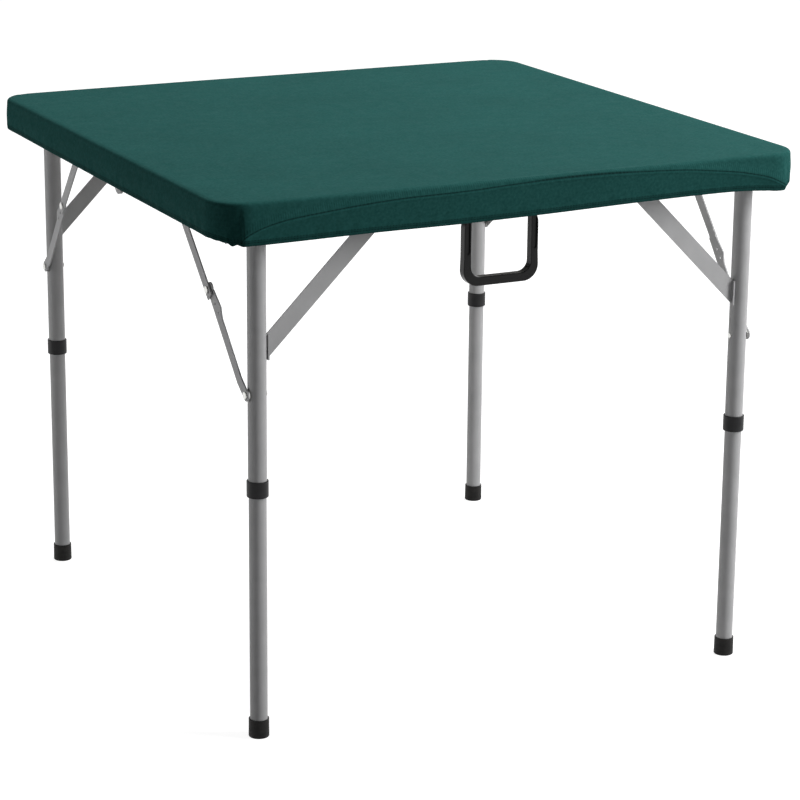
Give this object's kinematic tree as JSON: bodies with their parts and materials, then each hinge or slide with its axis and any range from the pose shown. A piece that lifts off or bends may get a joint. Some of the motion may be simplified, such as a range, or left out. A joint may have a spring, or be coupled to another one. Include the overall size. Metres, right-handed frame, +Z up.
{
  "type": "folding card table",
  "caption": "Square card table with a fitted stretch cover, folding leg frames with lock braces, telescopic legs, a fold-in-half top and a carrying handle.",
  "frame": {"origin": "centre of the four feet on the floor, under the middle of the top", "axes": "+Z up, -Y towards the edge with the carrying handle, X along the fold line"},
  "size_m": [0.864, 0.864, 0.735],
  "materials": {
    "grey_frame": "powder coated, satin",
    "zinc_steel": "zinc plated, satin",
    "black_plastic": "fine grain",
    "black_handle": "semi-gloss",
    "black_rubber": "matte",
    "green_cover": "stretch polyester knit",
    "white_top": "fine pebble grain"
  },
  "bodies": {
    "front_half": {"front_tabletop_half": "white_top", "front_cover_half": "green_cover", "side_rail_front_left": "grey_frame", "side_rail_front_right": "grey_frame", "front_rail_screws": "zinc_steel", "fold_hinge_pins": "zinc_steel", "front_brace_rail_rivets": "zinc_steel", "handle_brackets": "black_plastic", "handle_pins": "zinc_steel"},
    "rear_half": {"rear_tabletop_half": "white_top", "rear_cover_half": "green_cover", "side_rail_rear_left": "grey_frame", "side_rail_rear_right": "grey_frame", "rear_rail_screws": "zinc_steel", "fold_hinge_plate_left": "grey_frame", "fold_hinge_plate_right": "grey_frame", "hinge_plate_rivets": "zinc_steel", "rear_brace_rail_rivets": "zinc_steel"},
    "handle": {"carry_handle": "black_handle"},
    "front_leg_frame": {"front_crossbar": "grey_frame", "front_crossbar_caps": "black_plastic", "front_leg_gussets": "grey_frame", "front_brace_studs": "zinc_steel", "upper_leg_front_left": "grey_frame", "leg_collar_front_left": "black_plastic", "upper_leg_front_right": "grey_frame", "leg_collar_front_right": "black_plastic"},
    "rear_leg_frame": {"rear_crossbar": "grey_frame", "rear_crossbar_caps": "black_plastic", "rear_leg_gussets": "grey_frame", "rear_brace_studs": "zinc_steel", "upper_leg_rear_left": "grey_frame", "leg_collar_rear_left": "black_plastic", "upper_leg_rear_right": "grey_frame", "leg_collar_rear_right": "black_plastic"},
    "front_left_lower_leg": {"lower_leg_front_left": "grey_frame", "foot_cap_front_left": "black_rubber"},
    "front_left_snap_button": {"snap_button_front_left": "zinc_steel"},
    "front_left_lower_link": {"brace_lower_link_front_left": "grey_frame"},
    "front_left_upper_link": {"brace_upper_link_front_left": "grey_frame", "knee_rivet_front_left": "zinc_steel"},
    "front_right_lower_leg": {"lower_leg_front_right": "grey_frame", "foot_cap_front_right": "black_rubber"},
    "front_right_snap_button": {"snap_button_front_right": "zinc_steel"},
    "front_right_lower_link": {"brace_lower_link_front_right": "grey_frame"},
    "front_right_upper_link": {"brace_upper_link_front_right": "grey_frame", "knee_rivet_front_right": "zinc_steel"},
    "rear_left_lower_leg": {"lower_leg_rear_left": "grey_frame", "foot_cap_rear_left": "black_rubber"},
    "rear_left_snap_button": {"snap_button_rear_left": "zinc_steel"},
    "rear_left_lower_link": {"brace_lower_link_rear_left": "grey_frame"},
    "rear_left_upper_link": {"brace_upper_link_rear_left": "grey_frame", "knee_rivet_rear_left": "zinc_steel"},
    "rear_right_lower_leg": {"lower_leg_rear_right": "grey_frame", "foot_cap_rear_right": "black_rubber"},
    "rear_right_snap_button": {"snap_button_rear_right": "zinc_steel"},
    "rear_right_lower_link": {"brace_lower_link_rear_right": "grey_frame"},
    "rear_right_upper_link": {"brace_upper_link_rear_right": "grey_frame", "knee_rivet_rear_right": "zinc_steel"}
  },
  "joints": [
    {"name": "centre_fold", "type": "hinge", "parent": "front_half", "child": "rear_half", "pos_m": [0, 0, 0.6775], "axis": [-1, 0, 0], "range_deg": [0, 50]},
    {"name": "handle_swing", "type": "hinge", "parent": "front_half", "child": "handle", "pos_m": [0, -0.363, 0.68], "axis": [-1, 0, 0], "range_deg": [0, 90]},
    {"name": "front_leg_fold", "type": "hinge", "parent": "front_half", "child": "front_leg_frame", "pos_m": [0, -0.403, 0.7], "axis": [1, 0, 0], "range_deg": [0, 90]},
    {"name": "rear_leg_fold", "type": "hinge", "parent": "rear_half", "child": "rear_leg_frame", "pos_m": [0, 0.403, 0.7], "axis": [-1, 0, 0], "range_deg": [0, 90]},
    {"name": "front_left_leg_slide", "type": "slide", "parent": "front_leg_frame", "child": "front_left_lower_leg", "axis": [0, 0, 1], "range_m": [0, 0.3098]},
    {"name": "front_left_button_press", "type": "slide", "parent": "front_left_lower_leg", "child": "front_left_snap_button", "axis": [0, 1, 0], "range_m": [0, 0.003]},
    {"name": "front_left_brace_foot", "type": "hinge", "parent": "front_leg_frame", "child": "front_left_lower_link", "pos_m": [-0.3791, -0.39, 0.474], "axis": [1, 0, 0], "range_deg": [0, 42.95]},
    {"name": "front_left_brace_head", "type": "hinge", "parent": "front_half", "child": "front_left_upper_link", "pos_m": [-0.392, -0.168, 0.713], "axis": [1, 0, 0], "range_deg": [-47.2, 0]},
    {"name": "front_right_leg_slide", "type": "slide", "parent": "front_leg_frame", "child": "front_right_lower_leg", "axis": [0, 0, 1], "range_m": [0, 0.3098]},
    {"name": "front_right_button_press", "type": "slide", "parent": "front_right_lower_leg", "child": "front_right_snap_button", "axis": [0, 1, 0], "range_m": [0, 0.003]},
    {"name": "front_right_brace_foot", "type": "hinge", "parent": "front_leg_frame", "child": "front_right_lower_link", "pos_m": [0.3791, -0.39, 0.474], "axis": [1, 0, 0], "range_deg": [0, 42.95]},
    {"name": "front_right_brace_head", "type": "hinge", "parent": "front_half", "child": "front_right_upper_link", "pos_m": [0.392, -0.168, 0.713], "axis": [1, 0, 0], "range_deg": [-47.2, 0]},
    {"name": "rear_left_leg_slide", "type": "slide", "parent": "rear_leg_frame", "child": "rear_left_lower_leg", "axis": [0, 0, 1], "range_m": [0, 0.3098]},
    {"name": "rear_left_button_press", "type": "slide", "parent": "rear_left_lower_leg", "child": "rear_left_snap_button", "axis": [0, 1, 0], "range_m": [0, 0.003]},
    {"name": "rear_left_brace_foot", "type": "hinge", "parent": "rear_leg_frame", "child": "rear_left_lower_link", "pos_m": [-0.3791, 0.39, 0.474], "axis": [-1, 0, 0], "range_deg": [0, 42.95]},
    {"name": "rear_left_brace_head", "type": "hinge", "parent": "rear_half", "child": "rear_left_upper_link", "pos_m": [-0.392, 0.168, 0.713], "axis": [-1, 0, 0], "range_deg": [-47.2, 0]},
    {"name": "rear_right_leg_slide", "type": "slide", "parent": "rear_leg_frame", "child": "rear_right_lower_leg", "axis": [0, 0, 1], "range_m": [0, 0.3098]},
    {"name": "rear_right_button_press", "type": "slide", "parent": "rear_right_lower_leg", "child": "rear_right_snap_button", "axis": [0, 1, 0], "range_m": [0, 0.003]},
    {"name": "rear_right_brace_foot", "type": "hinge", "parent": "rear_leg_frame", "child": "rear_right_lower_link", "pos_m": [0.3791, 0.39, 0.474], "axis": [-1, 0, 0], "range_deg": [0, 42.95]},
    {"name": "rear_right_brace_head", "type": "hinge", "parent": "rear_half", "child": "rear_right_upper_link", "pos_m": [0.392, 0.168, 0.713], "axis": [-1, 0, 0], "range_deg": [-47.2, 0]}
  ],
  "couplings": [
    {"joint": "front_left_brace_foot", "follows": "front_leg_fold", "ratio": 0.4766},
    {"joint": "front_left_brace_head", "follows": "front_leg_fold", "ratio": -0.5234},
    {"joint": "front_right_brace_foot", "follows": "front_leg_fold", "ratio": 0.4766},
    {"joint": "front_right_brace_head", "follows": "front_leg_fold", "ratio": -0.5234},
    {"joint": "rear_left_brace_foot", "follows": "rear_leg_fold", "ratio": 0.4766},
    {"joint": "rear_left_brace_head", "follows": "rear_leg_fold", "ratio": -0.5234},
    {"joint": "rear_right_brace_foot", "follows": "rear_leg_fold", "ratio": 0.4766},
    {"joint": "rear_right_brace_head", "follows": "rear_leg_fold", "ratio": -0.5234}
  ]
}
